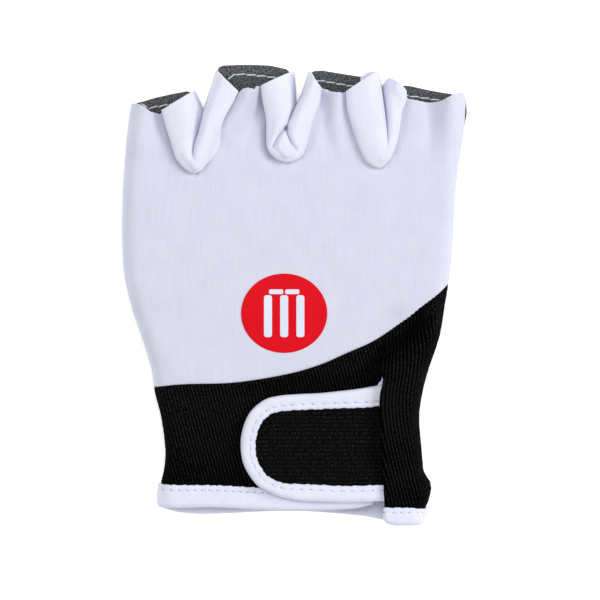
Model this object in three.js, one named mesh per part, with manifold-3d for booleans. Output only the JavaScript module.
// A half-finger cricket fielding glove for the left hand, lying on its palm with its back up.
// Millimetres. X runs across the hand, +Y to the fingers, +Z up, and Z = 0 is the surface it lies on.
import * as THREE from "three";
import Module from "manifold-3d";

// Thickness of each material, and the gap that sewn pieces keep
const BACK_CLOTH = 1.2;
const GUSSET_CLOTH = 1.0;
const PALM_LEATHER = 1.6;
const CUFF_RIB = 1.2;
const STRAP_PATCH = 1.2;
const BINDING_TAPE = 1.0;
const BADGE_FILM = 0.6;
const GAP = 0.35;
const SEAM_GAP = 0.8;

// The hand and wrist tube: one row for each section across the glove, seen from above
const SECTIONS = [
  { y: 66, left: -49.6, right: 53.2, height: 10.6 },
  { y: 58.5, left: -50.5, right: 53.2, height: 11.2 },
  { y: 51, left: -51.5, right: 52.7, height: 11.8 },
  { y: 41, left: -52.4, right: 51.2, height: 12.2 },
  { y: 29, left: -53.1, right: 49.9, height: 12.4 },
  { y: 17, left: -53.2, right: 49.3, height: 12.6 },
  { y: 7, left: -52.7, right: 48.4, height: 12.6 },
  { y: -3, left: -50.6, right: 46.8, height: 12.4 },
  { y: -13, left: -47.3, right: 45.1, height: 12.0 },
  { y: -23, left: -44.2, right: 42.1, height: 11.5 },
  { y: -30, left: -43.1, right: 40.1, height: 11.2 },
  { y: -38, left: -41.4, right: 39.0, height: 11.0 },
  { y: -48, left: -40.2, right: 39.7, height: 11.0 },
  { y: -55, left: -40.4, right: 40.3, height: 11.2 },
  { y: -59.5, left: -40.3, right: 42.2, height: 11.5 },
  { y: -63, left: -40.9, right: 41.6, height: 11.6 },
  { y: -66.5, left: -41.1, right: 40.4, height: 11.6 },
  { y: -72, left: -40.2, right: 38.8, height: 11.4 },
];
const SIDE_RADIUS = 9;
const SIDE_SEAM_HEIGHT = 4.4;
const CROWN = 0.1;
const COLUMN_STEP = 0.9;

// Soft folds and dents of the back: a straight ridge from one point to the other, raised or sunk
const BACK_FOLDS = [
  { from: [-15.5, 62.5], to: [-21.5, 51.0], width: 3.0, rise: 0.9 },
  { from: [44.5, 58.0], to: [46.5, 46.0], width: 2.6, rise: -0.8 },
  { from: [13.0, 57.0], to: [16.0, 42.0], width: 3.0, rise: -0.7 },
  { from: [-44.0, 50.0], to: [-39.5, 36.0], width: 4.0, rise: -0.4 },
  { from: [31.0, -8.0], to: [29.5, -16.5], width: 4.0, rise: -1.2 },
];

// Free edge of the back at each finger, from the little finger side to the index side
const FINGER_HEMS = [
  [[-50.5, 58.6], [-48.6, 57.4], [-46.4, 56.6], [-43.4, 56.0]],
  [[-15.7, 63.0], [-13.3, 63.5], [-12.0, 62.7]],
  [[11.8, 62.7]],
  [[37.0, 59.9], [39.6, 59.4], [44.3, 59.4], [47.4, 60.5], [49.9, 61.9], [52.0, 62.1], [53.2, 61.3]],
];

// Finger edges of the palm and the slits between its fingers
const PALM_FINGERS = [
  [[-50.5, 57.8], [-49.6, 59.1], [-47.9, 59.8], [-43.0, 60.9], [-38.0, 62.0], [-33.2, 62.9], [-31.4, 62.4]],
  [[-28.9, 56.5], [-28.4, 51.5], [-27.2, 56.5]],
  [[-25.0, 64.0], [-23.4, 70.2], [-22.0, 70.9], [-17.4, 71.1], [-12.0, 71.1], [-7.4, 70.9], [-2.4, 69.8]],
  [[-0.8, 68.4], [-0.2, 60.0], [0.5, 54.0], [1.6, 59.6]],
  [[3.2, 62.6], [5.4, 68.6], [6.4, 69.2], [9.0, 69.3], [15.0, 68.3], [21.5, 67.3], [24.6, 67.6]],
  [[25.7, 66.0], [26.5, 62.0], [27.4, 56.6], [28.0, 61.5]],
  [[28.9, 64.4], [32.6, 64.8], [36.3, 64.5], [41.9, 63.2], [46.0, 62.5], [50.0, 61.9], [52.3, 61.2], [53.2, 59.6]],
];
const THUMB_HOLE = { x: 28, y: 20, width: 23, length: 32, turn: 0.3 };

// Seam between the back and the ribbed cuff, and the same seam on the palm side
const BACK_SEAM = [
  { x: -43, y: -28.8 },
  { x: -34.8, y: -28.0 },
  { x: -18.6, y: -27.4 },
  { x: -2.2, y: -24.7 },
  { x: 7.4, y: -21.9 },
  { x: 16.1, y: -18.2 },
  { x: 24.5, y: -14.5 },
  { x: 33.5, y: -8.7 },
  { x: 39.4, y: -4.2 },
  { x: 43.4, y: -1.1 },
  { x: 47.4, y: 2.9 },
];

// Hem of the cuff on the back and on the palm side, with the height of the white binding there
const BACK_HEM = [
  { x: -42, y: -65.4, band: 6.6 },
  { x: -37.5, y: -65.9, band: 6.8 },
  { x: -24.5, y: -65.7, band: 6.5 },
  { x: -8.7, y: -66.5, band: 6.4 },
  { x: 11.8, y: -66.5, band: 6.4 },
  { x: 20.5, y: -66.0, band: 6.0 },
  { x: 27.6, y: -65.0, band: 5.4 },
];
const PALM_HEM = [
  { x: -42, y: -65.4, band: 6.6 },
  { x: -36.0, y: -67.4, band: 6.6 },
  { x: -26.7, y: -67.9, band: 6.6 },
  { x: 0, y: -67.0, band: 6.2 },
  { x: 20.5, y: -68.4, band: 5.8 },
  { x: 28.4, y: -69.8, band: 5.3 },
  { x: 36, y: -70.8, band: 5.1 },
  { x: 41, y: -71.2, band: 5.1 },
];
const FLAP_HEM = { y: -71.2, band: 5.1 };

// Wrist slit: the flap on its right is lifted over the strap
const SLIT = { flapX: 27.6, edgeX: 24.4, top: -18, full: -27.6, open: -33, tapeTop: -24.6, tapeEnd: -58.6 };
const HEM_RAISE = { start: -50, full: -60 };

// Strap seen from above, from the flap round its free end and back to the flap
const STRAP_OUTLINE = [
  [31.4, -27.9], [13.9, -29.9], [3.1, -30.7], [-4.7, -31.4], [-9.9, -32.9], [-13.4, -36.2], [-15.8, -41.2],
  [-16.5, -46.8], [-15.8, -52.5], [-13.2, -57.8], [-8.7, -61.2], [-1.2, -63.5], [9.6, -64.5], [20.5, -64.5],
  [31.4, -64.0],
];
const STRAP_STATIONS = 40;
const STRAP_BINDING_WIDTH = 4.8;

const BADGE = { x: -3, y: -6, radius: 13.2 };

// Gussets between the fingers. Each folds over the back as a puffed tongue of two arms.
// fold: outer edge of an arm from its hem to the tip. gap: its edge on the palm from the hem to the
// crotch. crease: the valley between the arms. Third value: height of the middle of the cloth.
const GUSSETS = [
  {
    name: "finger_gusset_1",
    arms: [
      {
        split: 0.3,
        fold: [[-41.0, 56.7], [-39.4, 50.8], [-38.1, 46.9], [-36.7, 42.3], [-35.0, 39.8], [-32.8, 37.9], [-30.6, 37.1]],
        gap: [[-31.3, 62.9, 2.4], [-29.3, 60.0, 2.4], [-27.8, 56.2, 3.4]],
      },
      {
        split: 0.42,
        fold: [[-17.2, 62.6], [-19.2, 58.2], [-21.4, 54.3], [-23.1, 49.7], [-24.3, 45.7], [-26.5, 40.8], [-28.5, 38.0],
          [-30.6, 37.1]],
        gap: [[-24.0, 69.2, 2.4], [-26.1, 62.1, 2.4], [-27.8, 56.2, 3.4]],
      },
    ],
    crease: [[-27.8, 56.2, 3.4], [-29.4, 50.8, 5.4], [-31.0, 45.9, 8.6], [-30.9, 42.4, 11.4], [-30.0, 39.9, 14.0]],
  },
  {
    name: "finger_gusset_2",
    arms: [
      {
        split: 0.28,
        fold: [[-10.2, 64.4], [-9.9, 60.8], [-9.1, 56.7], [-8.6, 52.1], [-8.5, 48.0], [-8.2, 45.0], [-6.9, 42.8],
          [-4.8, 41.3], [-2.2, 40.5]],
        gap: [[-0.4, 69.2, 2.4], [0.1, 63.5, 2.4], [0.5, 57.8, 3.4]],
      },
      {
        split: 0.3,
        fold: [[8.4, 63.6], [8.0, 58.9], [6.0, 53.5], [4.8, 49.1], [3.8, 45.2], [2.6, 42.6], [0.8, 41.2], [-2.2, 40.5]],
        gap: [[4.9, 69.0, 2.4], [2.6, 61.9, 2.4], [0.5, 57.8, 3.4]],
      },
    ],
    crease: [[0.5, 57.8, 3.4], [-1.7, 54.1, 6.2], [-2.3, 51.0, 9.6], [-2.5, 47.5, 13.6], [-2.4, 44.2, 14.8]],
  },
  {
    name: "finger_gusset_3",
    arms: [
      {
        split: 0.18,
        bow: 1.2,
        fold: [[16.0, 62.2], [16.5, 57.0], [17.7, 52.7], [19.1, 48.1], [20.5, 44.2], [22.4, 40.8], [24.4, 39.3],
          [26.4, 38.7]],
        gap: [[26.0, 68.4, 2.4], [26.8, 65.4, 2.4], [27.4, 62.4, 3.0]],
      },
      {
        split: 0.1,
        bow: 1.2,
        fold: [[34.9, 61.0], [34.5, 57.6], [33.1, 51.7], [31.9, 46.7], [30.5, 42.8], [28.8, 40.3], [26.4, 38.7]],
        gap: [[29.4, 66.2, 2.4], [28.0, 64.6, 2.4], [27.4, 62.4, 3.0]],
      },
    ],
    crease: [[27.4, 62.4, 3.0], [28.2, 57.0, 5.0], [29.0, 50.4, 9.4], [28.6, 45.2, 12.6], [27.3, 41.4, 14.0]],
  },
];
const FOLD_LAP = 1.5;
const FOLD_RISE = 0.9;
const SHOULDER_RISE = 2.0;
const CREST_RISE = 2.9;
const VALLEY_ROOM = 0.8;

// Small helpers
const mix = THREE.MathUtils.lerp;
const smooth = THREE.MathUtils.smoothstep;
const range = (count) => Array.from({ length: count + 1 }, (_, i) => i / count);

// Value of one column of a table at a place between its rows, on a smooth curve through the rows
function read(table, key, at, column) {
  const rows = table[0][key] < table.at(-1)[key] ? table : [...table].reverse();
  const last = rows.length - 1;
  const place = THREE.MathUtils.clamp(at, rows[0][key], rows[last][key]);
  let i = 0;
  while (i < last - 1 && place > rows[i + 1][key]) i += 1;
  const slope = (k) => {
    const before = rows[Math.max(0, k - 1)];
    const after = rows[Math.min(last, k + 1)];
    return (after[column] - before[column]) / (after[key] - before[key]);
  };
  const step = rows[i + 1][key] - rows[i][key];
  const t = (place - rows[i][key]) / step;
  const straight = mix(rows[i][column], rows[i + 1][column], smooth(t, 0, 1));
  const lean = t * (1 - t) * step;
  return straight + lean * ((1 - t) * slope(i) - t * slope(i + 1));
}

// Middle, half width and height of the tube of cloth at a place along the glove
function sectionAt(y, thickness) {
  const left = read(SECTIONS, "y", y, "left") + thickness / 2;
  const right = read(SECTIONS, "y", y, "right") - thickness / 2;
  return { middle: (left + right) / 2, half: (right - left) / 2, height: read(SECTIONS, "y", y, "height") };
}

// A column runs along the glove: -1 to 1 is the flat of the hand, and 1 to 2 the rounded side
function columnX(column, y, thickness) {
  const { middle, half } = sectionAt(y, thickness);
  const flat = Math.min(Math.abs(column), 1) * (half - SIDE_RADIUS);
  const round = Math.sin((Math.max(Math.abs(column) - 1, 0) * Math.PI) / 2) * SIDE_RADIUS;
  return middle + Math.sign(column) * (flat + round);
}

function columnOf(x, y, thickness) {
  const { middle, half } = sectionAt(y, thickness);
  const out = Math.min(Math.abs(x - middle), half);
  const flat = half - SIDE_RADIUS;
  const column = out <= flat ? out / flat : 1 + (Math.asin((out - flat) / SIDE_RADIUS) * 2) / Math.PI;
  return Math.sign(x - middle) * column;
}

function roundOff(column) {
  return Math.cos((Math.max(Math.abs(column) - 1, 0) * Math.PI) / 2);
}

// Height that the soft folds add at a place on the back
function foldsAt(x, y) {
  const place = new THREE.Vector3(x, y, 0);
  const near = new THREE.Vector3();
  return BACK_FOLDS.reduce((sum, { from, to, width, rise }) => {
    const ridge = new THREE.Line3(new THREE.Vector3(...from, 0), new THREE.Vector3(...to, 0));
    ridge.closestPointToPoint(place, true, near);
    return sum + rise * Math.exp(-((near.distanceTo(place) / width) ** 2));
  }, 0);
}

// Middle of the cloth over and under the hand, for a column and a place along the glove
function upperPoint(column, y, thickness = BACK_CLOTH, lift = 0) {
  const { middle, half, height } = sectionAt(y, thickness);
  const x = columnX(column, y, thickness);
  const crown = 1 - CROWN * ((x - middle) / half) ** 2;
  const rise = (height + lift - SIDE_SEAM_HEIGHT) * crown + foldsAt(x, y);
  return new THREE.Vector3(x, y, SIDE_SEAM_HEIGHT + SEAM_GAP / 2 + rise * roundOff(column));
}

function lowerPoint(column, y, thickness, raise = 0) {
  const base = thickness / 2 + raise;
  const fall = SIDE_SEAM_HEIGHT - GAP / 2 - base;
  const x = columnX(column, y, thickness);
  return new THREE.Vector3(x, y, SIDE_SEAM_HEIGHT - GAP / 2 - fall * roundOff(column));
}

function backTop(x, y) {
  return upperPoint(columnOf(x, y, BACK_CLOTH), y).z + BACK_CLOTH / 2;
}

// A sheet is drawn by points and triangles along its middle, then given its thickness
class Sheet {
  points = [];
  faces = [];
  known = new Map();

  point(p) {
    const key = [p.x, p.y, p.z].map((v) => Math.round(v * 1000)).join();
    if (!this.known.has(key)) this.known.set(key, this.points.push(p.clone()) - 1);
    return this.known.get(key);
  }

  face(a, b, c) {
    if (a !== b && b !== c && c !== a) this.faces.push([a, b, c]);
  }

  // Rows of points side by side, split along the shorter diagonal of each cell
  grid(rows) {
    const ids = rows.map((row) => row.map((p) => this.point(p)));
    for (let i = 0; i + 1 < ids.length; i += 1) {
      for (let j = 0; j + 1 < ids[i].length; j += 1) {
        const [a, b, c, d] = [ids[i][j], ids[i][j + 1], ids[i + 1][j + 1], ids[i + 1][j]];
        const p = this.points;
        if (p[a].distanceTo(p[c]) <= p[b].distanceTo(p[d])) {
          this.face(a, b, c);
          this.face(a, c, d);
        } else {
          this.face(a, b, d);
          this.face(b, c, d);
        }
      }
    }
    return this;
  }

  normals() {
    const sums = this.points.map(() => new THREE.Vector3());
    const triangle = new THREE.Triangle();
    const normal = new THREE.Vector3();
    for (const face of this.faces) {
      triangle.setFromPointsAndIndices(this.points, ...face);
      triangle.getNormal(normal).multiplyScalar(triangle.getArea());
      face.forEach((k) => sums[k].add(normal));
    }
    return sums.map((n) => n.normalize());
  }

  // Closed body: both faces of the sheet, and a wall along each edge that only one triangle has
  solid(thickness) {
    const count = this.points.length;
    const normals = this.normals();
    const shifted = (by) => this.points.map((p, k) => p.clone().addScaledVector(normals[k], by));
    const vertices = [...shifted(thickness / 2), ...shifted(-thickness / 2)];
    const triangles = this.faces.flatMap(([a, b, c]) => [[a, b, c], [c + count, b + count, a + count]]);
    const edges = new Set(this.faces.flatMap(([a, b, c]) => [`${a},${b}`, `${b},${c}`, `${c},${a}`]));
    for (const edge of edges) {
      const [a, b] = edge.split(",").map(Number);
      if (!edges.has(`${b},${a}`)) triangles.push([b, a, a + count], [b, a + count, b + count]);
    }
    return body(vertices, triangles);
  }
}

function body(vertices, triangles) {
  const geometry = new THREE.BufferGeometry().setFromPoints(vertices);
  geometry.setIndex(triangles.flat());
  geometry.computeVertexNormals();
  return geometry;
}

// A closed profile carried along a row of stations, with a cap of its own at each end
function sweep(stations, capFaces) {
  const size = stations[0].length;
  const end = (stations.length - 1) * size;
  const triangles = [];
  for (let i = 0; i + 1 < stations.length; i += 1) {
    for (let k = 0; k < size; k += 1) {
      const [a, b] = [i * size + k, i * size + ((k + 1) % size)];
      triangles.push([a, b, b + size], [a, b + size, a + size]);
    }
  }
  for (const [a, b, c] of capFaces) triangles.push([c, b, a], [a + end, b + end, c + end]);
  return body(stations.flat(), triangles);
}

// Folded binding tape: a channel round the edge of a sheet. depth runs in from the edge, and rise
// is the distance from the middle of the sheet.
function bindingProfile(sheetThickness, width) {
  const inner = sheetThickness / 2 + GAP;
  const outer = inner + BINDING_TAPE;
  const bend = BINDING_TAPE + GAP;
  const side = [[width, outer], [0.7, outer], [0, outer - 0.8]];
  const inside = [[bend, inner], [width, inner]];
  const mirror = (list) => [...list].reverse().map(([depth, rise]) => [depth, -rise]);
  return [...side, ...mirror(side), ...mirror(inside), ...inside];
}
const BINDING_CAP = [[0, 1, 8], [0, 8, 9], [1, 2, 8], [2, 3, 8], [3, 7, 8], [3, 4, 7], [4, 5, 6], [4, 6, 7]];

// Gussets

// One arm: rows from its hem to the tip, each from the seam on the back over the puff to the crease
function gussetArm(arm, crease, upperRows, lowerRows) {
  const curve = (points) => new THREE.CatmullRomCurve3(points.map(([x, y, z = 0]) => new THREE.Vector3(x, y, z)));
  const fold = curve(arm.fold);
  const gap = curve(arm.gap);
  const valley = curve(crease);
  const upper = range(upperRows).map((t) => [fold.getPointAt(t * arm.split), gap.getPointAt(t)]);
  const lower = range(lowerRows).slice(1);
  const rest = lower.map((t) => [fold.getPointAt(mix(arm.split, 1, t)), valley.getPointAt(t)]);
  return [...upper, ...rest].map(([outer, inner], row) => gussetSection(outer, inner, row ? 0 : arm.bow ?? 0));
}

// Section of a gusset from the seam on the back, out to the fold, over the puff and down to the valley
function gussetSection(outer, inner, bow) {
  const across = new THREE.Vector3(inner.x - outer.x, inner.y - outer.y, 0);
  const width = across.length() - GUSSET_CLOTH / 2;
  across.normalize();
  const lap = Math.min(FOLD_LAP, 0.4 * width);
  const seat = GAP + GUSSET_CLOTH / 2;
  const at = (distance, rise) => {
    const p = outer.clone().addScaledVector(across, GUSSET_CLOTH / 2 + distance);
    return p.setZ(backTop(p.x, p.y) + seat + rise);
  };
  const last = 1 - Math.max(VALLEY_ROOM / (width - lap), 0.12);
  const puff = [0, 0.25, 0.5, 0.75, 1].map((part) => {
    const t = part * last;
    const p = at(mix(lap, width, t), SHOULDER_RISE + (CREST_RISE - SHOULDER_RISE) * Math.sin(Math.PI * t));
    p.z = mix(inner.z, p.z, Math.sqrt(1 - t ** 7));
    return p;
  });
  const section = [at(lap, 0), at(0.35 * lap, 0.1), at(0, FOLD_RISE), at(0.45 * lap, 0.8 * SHOULDER_RISE), ...puff];
  section.forEach((p, k) => (p.y += bow * Math.sin((Math.PI * k) / section.length)));
  return [...section, inner];
}

function gussetRows(gusset) {
  return gusset.arms.map((arm) => gussetArm(arm, gusset.crease, 4, 7));
}

function gussetSolid(gusset) {
  const sheet = new Sheet();
  const [left, right] = gussetRows(gusset);
  sheet.grid(left);
  sheet.grid(right.map((row) => [...row].reverse()));
  return sheet.solid(GUSSET_CLOTH);
}

// Back panel

// Free edge of the back from side to side: finger hems and the notches under the gussets
function backEdge() {
  const notches = GUSSETS.map((gusset) => {
    const [left, right] = gussetRows(gusset).map((rows) => rows.map((row) => [row[0].x, row[0].y]));
    return [...left, ...right.reverse().slice(1)];
  });
  const edge = FINGER_HEMS.flatMap((hem, i) => [...hem, ...(notches[i] ?? [])]);
  return spaced(edge);
}

// Points of an edge that are far enough apart across the glove to carry a column each
function spaced(edge) {
  const kept = [edge[0]];
  for (const point of edge.slice(1)) if (point[0] - kept.at(-1)[0] > COLUMN_STEP) kept.push(point);
  return kept;
}

function seamY(column, thickness, onPalm) {
  let y = -13;
  const ends = [BACK_SEAM[0], BACK_SEAM.at(-1)];
  for (let i = 0; i < 12; i += 1) {
    const x = columnX(column, y, thickness);
    const across = smooth(x, ends[0].x, ends[1].x);
    y = onPalm ? mix(ends[0].y, ends[1].y, across) : read(BACK_SEAM, "x", x, "y");
  }
  return y;
}

function panelRows(columns, rows, bottomOf, point) {
  return range(rows).map((t) => columns.map(({ column, top }) => point(column, mix(bottomOf(column), top, t))));
}

// Columns that close a panel round both sides of the hand, outside its own edge points
function withSides(edge, thickness, steps) {
  const inner = edge.map(([x, y]) => ({ column: columnOf(x, y, thickness), top: y }));
  const first = inner[0];
  const last = inner.at(-1);
  const between = range(steps).slice(0, -1);
  const left = between.map((t) => ({ column: mix(-2, first.column, t), top: first.top }));
  const right = between.map((t) => ({ column: mix(2, last.column, t), top: last.top })).reverse();
  return [...left, ...inner, ...right];
}

function backSolid() {
  const edge = backEdge().slice(1, -1);
  const columns = withSides(edge, BACK_CLOTH, 3);
  const bottom = (column) => seamY(column, BACK_CLOTH, false) + GAP;
  return new Sheet().grid(panelRows(columns, 11, bottom, (c, y) => upperPoint(c, y))).solid(BACK_CLOTH);
}

// Palm panel, with the hole that the thumb goes through
function palmSheet() {
  const columns = withSides(PALM_FINGERS.flat().slice(1, -1), PALM_LEATHER, 4);
  const bottom = (column) => seamY(column, PALM_LEATHER, true) + GAP;
  const rows = panelRows(columns, 7, bottom, (c, y) => lowerPoint(c, y, PALM_LEATHER));
  return new Sheet().grid(rows).solid(PALM_LEATHER);
}

const wasm = await Module();
wasm.setup();

function toManifold(geometry) {
  const vertProperties = new Float32Array(geometry.getAttribute("position").array);
  const triVerts = new Uint32Array(geometry.index.array);
  return new wasm.Manifold(new wasm.Mesh({ numProp: 3, vertProperties, triVerts }));
}

function fromManifold(solid) {
  const { vertProperties, triVerts } = solid.getMesh();
  const geometry = new THREE.BufferGeometry();
  geometry.setAttribute("position", new THREE.BufferAttribute(vertProperties, 3));
  geometry.setIndex(new THREE.BufferAttribute(triVerts, 1));
  geometry.computeVertexNormals();
  return geometry;
}

function palmSolid() {
  const { x, y, width, length, turn } = THUMB_HOLE;
  const ring = range(28).slice(1).map((t) => t * 2 * Math.PI);
  const outline = ring.map((a) => new THREE.Vector2((Math.cos(a) * width) / 2, (Math.sin(a) * length) / 2));
  const cutter = [-3, 9].flatMap((z) =>
    outline.map((p) => new THREE.Vector3(p.x, p.y, z).applyAxisAngle(new THREE.Vector3(0, 0, 1), turn)),
  );
  cutter.forEach((p) => p.add(new THREE.Vector3(x, y, 0)));
  const n = outline.length;
  const walls = outline.flatMap((_, k) => {
    const next = (k + 1) % n;
    return [[k, next, next + n], [k, next + n, k + n]];
  });
  const lids = THREE.ShapeUtils.triangulateShape(outline, []).flatMap(([a, b, c]) => [
    [c, b, a],
    [a + n, b + n, c + n],
  ]);
  return fromManifold(toManifold(palmSheet()).subtract(toManifold(body(cutter, [...walls, ...lids]))));
}

// Ribbed cuff

const liftAt = (y) => STRAP_LIFT * smooth(-y, -SLIT.top, -SLIT.full);
const raiseAt = (y) => HEM_TAPE_RAISE * smooth(-y, -HEM_RAISE.start, -HEM_RAISE.full);
const HEM_TAPE_RAISE = GAP + BINDING_TAPE;
const STRAP_THICK = STRAP_PATCH + 2 * (GAP + BINDING_TAPE);
const STRAP_LIFT = CUFF_RIB + HEM_TAPE_RAISE + STRAP_THICK + 4 * GAP;

// Places round the wrist: from the flap's edge over the right side, under the wrist, and back over
// the left side to the edge of the slit
function cuffPlaces() {
  const flap = range(3).map((t) => ({ part: "flap", t }));
  const corner = (part, from, to, steps) =>
    range(steps).slice(1).map((t) => ({ part, column: mix(from, to, t) }));
  const back = range(11).slice(1).map((t) => ({ part: "back", t }));
  return [
    ...flap,
    ...corner("flapSide", 1, 2, 5),
    ...corner("palm", 2, 1, 4),
    ...corner("palm", 1, -1, 8),
    ...corner("palm", -1, -2, 4),
    ...corner("leftSide", -2, -1, 5),
    ...back,
  ];
}

function slitEdgeX(y) {
  return mix(SLIT.flapX, SLIT.edgeX, smooth(-y, -SLIT.top, -SLIT.open));
}

function cuffColumn(place, y) {
  const flapColumn = columnOf(SLIT.flapX, y, CUFF_RIB);
  if (place.part === "flap") return mix(flapColumn, 1, place.t);
  if (place.part === "back") return mix(-1, columnOf(slitEdgeX(y), y, CUFF_RIB), place.t);
  return place.column;
}

function cuffPoint(place, y) {
  const column = cuffColumn(place, y);
  if (place.part === "palm") return lowerPoint(column, y, CUFF_RIB, raiseAt(y));
  const lift = place.part.startsWith("flap") ? liftAt(y) : 0;
  return upperPoint(column, y, CUFF_RIB, lift);
}

function cuffHem(place) {
  if (place.part.startsWith("flap")) return FLAP_HEM;
  const x = columnX(cuffColumn(place, -66), -66, CUFF_RIB);
  const table = place.part === "palm" ? PALM_HEM : BACK_HEM;
  return { y: read(table, "x", x, "y"), band: read(table, "x", x, "band") };
}

function cuffTop(place) {
  return seamY(cuffColumn(place, -13), CUFF_RIB, place.part === "palm") - GAP / 2;
}

function cuffSolid() {
  const places = cuffPlaces();
  const slitRow = seamY(columnOf(SLIT.flapX, SLIT.top, CUFF_RIB), CUFF_RIB, false) - SLIT.top;
  const levels = [0, 0.06, 0.13, 0.22, 0.33, 0.44, 0.55, 0.66, 0.76, 0.84, 0.9, 0.95, 1];
  const edge = BINDING_TAPE + GAP + SEAM_GAP / 2;
  const lower = levels.map((t) =>
    places.map((place) => cuffPoint(place, mix(cuffHem(place).y + edge, cuffTop(place) - slitRow, t))),
  );
  const upper = range(2).map((t) =>
    places.map((place) => cuffPoint(place, mix(cuffTop(place) - slitRow, cuffTop(place), t))),
  );
  return new Sheet().grid(lower).grid(upper).solid(CUFF_RIB);
}

// Outward direction of the cuff's cloth at a place
function cuffNormal(place, y, places) {
  const k = places.indexOf(place);
  const before = cuffPoint(places[Math.max(0, k - 1)], y);
  const after = cuffPoint(places[Math.min(places.length - 1, k + 1)], y);
  const along = after.sub(before).setY(0).normalize();
  return new THREE.Vector3(-along.z, 0, along.x);
}

function cuffBindingSolid() {
  const places = cuffPlaces();
  const stations = places.map((place) => {
    const { y, band } = cuffHem(place);
    const profile = bindingProfile(CUFF_RIB, band);
    return profile.map(([depth, rise]) => {
      const p = cuffPoint(place, y + depth);
      return p.addScaledVector(cuffNormal(place, y + depth, places), rise);
    });
  });
  return sweep(stations, BINDING_CAP);
}

function slitBindingSolid() {
  const rows = range(9).map((v) => {
    const y = mix(SLIT.tapeEnd, SLIT.tapeTop, v);
    return range(2).map((t) => {
      const x = mix(slitEdgeX(y) + SEAM_GAP / 2, SLIT.flapX - GAP, t);
      return upperPoint(columnOf(x, y, CUFF_RIB), y, CUFF_RIB);
    });
  });
  return new Sheet().grid(rows).solid(CUFF_RIB);
}

// Strap

// Middle of the strap over the cuff, clear of the binding of the hem
function strapHeight(x, y) {
  const cuff = upperPoint(columnOf(x, y, CUFF_RIB), y, CUFF_RIB).z;
  return cuff + CUFF_RIB / 2 + raiseAt(y) + SEAM_GAP / 2 + STRAP_THICK / 2;
}

// Places along the strap's edge, each with the direction in from it
function strapStations() {
  const outline = new THREE.CatmullRomCurve3(STRAP_OUTLINE.map(([x, y]) => new THREE.Vector3(x, y, 0)));
  return range(STRAP_STATIONS).map((t) => {
    const along = outline.getTangentAt(t);
    return { edge: outline.getPointAt(t), inward: new THREE.Vector3(-along.y, along.x, 0) };
  });
}

function strapPatchSolid() {
  const inset = BINDING_TAPE + GAP + GAP;
  const edge = strapStations().map(({ edge: p, inward }) => p.addScaledVector(inward, inset));
  const rows = range(STRAP_STATIONS / 2).map((_, k) =>
    [0, 0.12, 0.35, 0.65, 0.88, 1].map((t) => {
      const p = edge[k].clone().lerp(edge[STRAP_STATIONS - k], t);
      return p.setZ(strapHeight(p.x, p.y));
    }),
  );
  return new Sheet().grid(rows).solid(STRAP_PATCH);
}

function strapBindingSolid() {
  const profile = bindingProfile(STRAP_PATCH, STRAP_BINDING_WIDTH);
  const stations = strapStations().map(({ edge, inward }) =>
    profile.map(([depth, rise]) => {
      const p = edge.clone().addScaledVector(inward, depth);
      return p.setZ(strapHeight(p.x, p.y) + rise);
    }),
  );
  return sweep(stations, BINDING_CAP);
}

// Round badge on the back
function badgeSolid() {
  const rows = [0, 0.5, 1].map((t) =>
    range(28).map((turn) => {
      const angle = turn * 2 * Math.PI;
      const x = BADGE.x + Math.cos(angle) * BADGE.radius * t;
      const y = BADGE.y + Math.sin(angle) * BADGE.radius * t;
      return new THREE.Vector3(x, y, backTop(x, y) + GAP + BADGE_FILM / 2);
    }),
  );
  return new Sheet().grid(rows.map((row) => [...row].reverse())).solid(BADGE_FILM);
}

// Assembly
const white = { color: 0xdcdcee, roughness: 0.85 };
const black = { color: 0x0d0d0f, roughness: 0.95 };
const grey = { color: 0x575959, roughness: 0.95 };
const red = { color: 0xe0142c, roughness: 0.5 };

function piece(name, geometry, look) {
  const mesh = new THREE.Mesh(geometry, new THREE.MeshStandardMaterial({ ...look, metalness: 0 }));
  mesh.name = name;
  return mesh;
}

const glove = new THREE.Group();
glove.add(
  piece("back_panel", backSolid(), white),
  piece("palm_panel", palmSolid(), grey),
  ...GUSSETS.map((gusset) => piece(gusset.name, gussetSolid(gusset), white)),
  piece("wrist_cuff", cuffSolid(), black),
  piece("cuff_binding", cuffBindingSolid(), white),
  piece("slit_binding", slitBindingSolid(), white),
  piece("strap_patch", strapPatchSolid(), black),
  piece("strap_binding", strapBindingSolid(), white),
  piece("back_badge", badgeSolid(), red),
);

export default glove;
